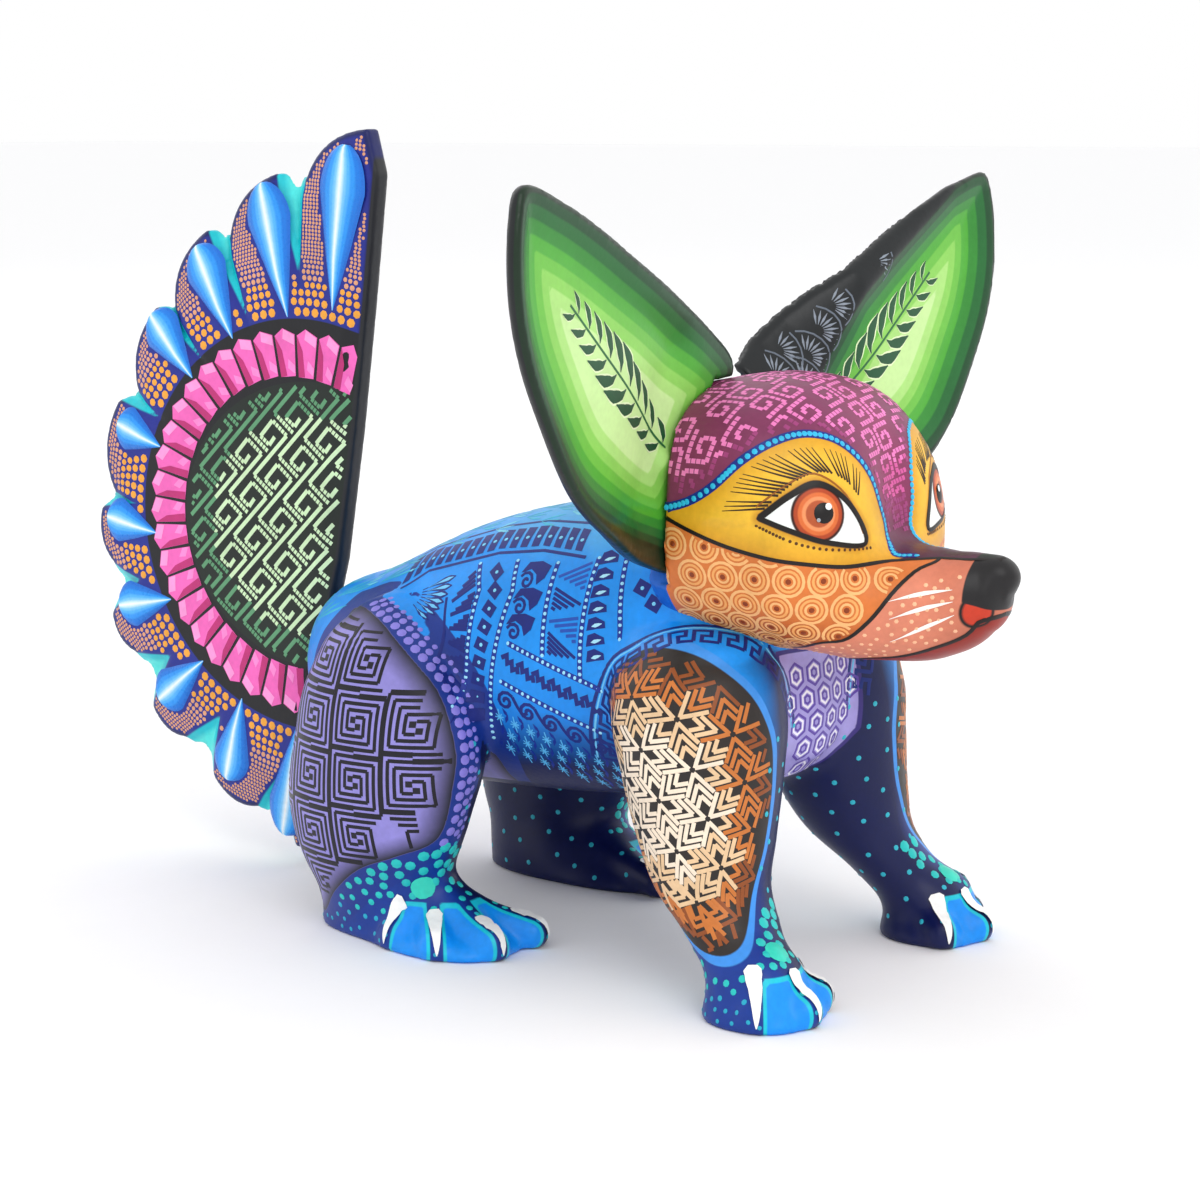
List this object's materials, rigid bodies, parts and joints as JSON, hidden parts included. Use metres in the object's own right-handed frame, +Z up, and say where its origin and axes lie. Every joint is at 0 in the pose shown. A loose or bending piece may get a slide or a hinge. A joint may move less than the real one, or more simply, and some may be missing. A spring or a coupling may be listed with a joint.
{
  "type": "alebrije figure",
  "caption": "Carved and painted wooden coyote figure with large leaf-shaped ears, a muzzle, clawed feet and a half-sunburst tail; the ears and tail pull off on dowels.",
  "frame": {"origin": "centre of the bounding box on the table, under the belly", "axes": "+Z up, the animal looks along -Y, X = 0 is its middle plane and -X is its right side"},
  "size_m": [0.2252, 0.308, 0.2138],
  "materials": {
    "painted_body_blue": "satin acrylic paint over carved copal wood",
    "painted_face": "satin acrylic paint over carved copal wood",
    "painted_ear_green": "satin acrylic paint over carved copal wood",
    "painted_tail": "satin acrylic paint over carved copal wood",
    "painted_foreleg": "satin acrylic paint over carved copal wood",
    "painted_hindleg": "satin acrylic paint over carved copal wood",
    "bare_dowel_wood": "bare turned wood"
  },
  "bodies": {
    "body": {"torso": "painted_body_blue", "head": "painted_face", "neck_dowel": "bare_dowel_wood", "right_foreleg": "painted_foreleg", "left_foreleg": "painted_foreleg", "right_hindleg": "painted_hindleg", "left_hindleg": "painted_hindleg", "right_foreleg_dowel": "bare_dowel_wood", "left_foreleg_dowel": "bare_dowel_wood", "right_hindleg_dowel": "bare_dowel_wood", "left_hindleg_dowel": "bare_dowel_wood"},
    "right_ear_body": {"right_ear": "painted_ear_green", "right_ear_peg": "bare_dowel_wood"},
    "left_ear_body": {"left_ear": "painted_ear_green", "left_ear_peg": "bare_dowel_wood"},
    "tail_body": {"tail_fan": "painted_tail", "tail_peg": "bare_dowel_wood"}
  },
  "joints": [
    {"name": "right_ear_pull", "type": "slide", "parent": "body", "child": "right_ear_body", "axis": [-0.9201, -0.0872, 0.3818], "range_m": [0, 0.03]},
    {"name": "left_ear_pull", "type": "slide", "parent": "body", "child": "left_ear_body", "axis": [0.9201, -0.0872, 0.3818], "range_m": [0, 0.03]},
    {"name": "tail_pull", "type": "slide", "parent": "body", "child": "tail_body", "axis": [0, 0.9877, 0.1564], "range_m": [0, 0.035]}
  ]
}
